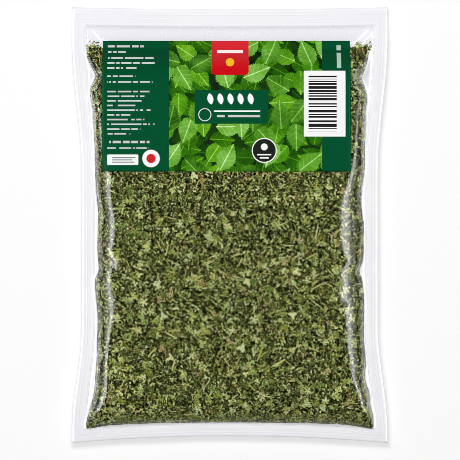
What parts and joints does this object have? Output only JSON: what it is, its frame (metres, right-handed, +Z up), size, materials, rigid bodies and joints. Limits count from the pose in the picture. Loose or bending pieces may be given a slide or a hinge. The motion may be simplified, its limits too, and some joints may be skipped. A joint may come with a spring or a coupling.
{
  "type": "bag of dried parsley",
  "caption": "Clear heat-sealed film pouch packed with dried rubbed parsley, lying on its back with its paper label facing up.",
  "frame": {"origin": "on the surface the pouch lies on, under the middle of its outline", "axes": "+Z up, out of the front panel; +Y along the pouch to its top seal; +X to the right as the label is read"},
  "size_m": [0.3, 0.4136, 0.0421],
  "materials": {
    "clear_film": "clear glossy heat-seal film, slightly hazy in the welded seals",
    "printed_paper": "coated label paper, printed dark green with a leaf pattern",
    "leaf_crumbs": "packed crumbs of dry rubbed leaf, dull olive green",
    "dried_leaf": "dry crinkled leaf, dull olive green with a paler underside",
    "dried_stem": "dry straw-coloured stem"
  },
  "bodies": {
    "root": {"front_film": "clear_film", "back_film": "clear_film", "label": "printed_paper", "parsley_crumbs": "leaf_crumbs", "leaf_flake_01": "dried_leaf", "leaf_flake_02": "dried_leaf", "leaf_flake_03": "dried_leaf", "leaf_flake_04": "dried_leaf", "leaf_flake_05": "dried_leaf", "leaf_flake_06": "dried_leaf", "leaf_flake_07": "dried_leaf", "leaf_flake_08": "dried_leaf", "leaf_flake_09": "dried_leaf", "leaf_flake_10": "dried_leaf", "leaf_flake_11": "dried_leaf", "leaf_flake_12": "dried_leaf", "leaf_flake_13": "dried_leaf", "leaf_flake_14": "dried_leaf", "leaf_flake_15": "dried_leaf", "leaf_flake_16": "dried_leaf", "leaf_flake_17": "dried_leaf", "leaf_flake_18": "dried_leaf", "leaf_flake_19": "dried_leaf", "leaf_flake_20": "dried_leaf", "leaf_flake_21": "dried_leaf", "leaf_flake_22": "dried_leaf", "leaf_flake_23": "dried_leaf", "leaf_flake_24": "dried_leaf", "stem_piece_01": "dried_stem", "stem_piece_02": "dried_stem", "stem_piece_03": "dried_stem", "stem_piece_04": "dried_stem", "stem_piece_05": "dried_stem", "stem_piece_06": "dried_stem", "stem_piece_07": "dried_stem", "stem_piece_08": "dried_stem", "stem_piece_09": "dried_stem", "stem_piece_10": "dried_stem", "stem_piece_11": "dried_stem", "stem_piece_12": "dried_stem", "stem_piece_13": "dried_stem", "stem_piece_14": "dried_stem", "stem_piece_15": "dried_stem", "stem_piece_16": "dried_stem"}
  },
  "joints": []
}
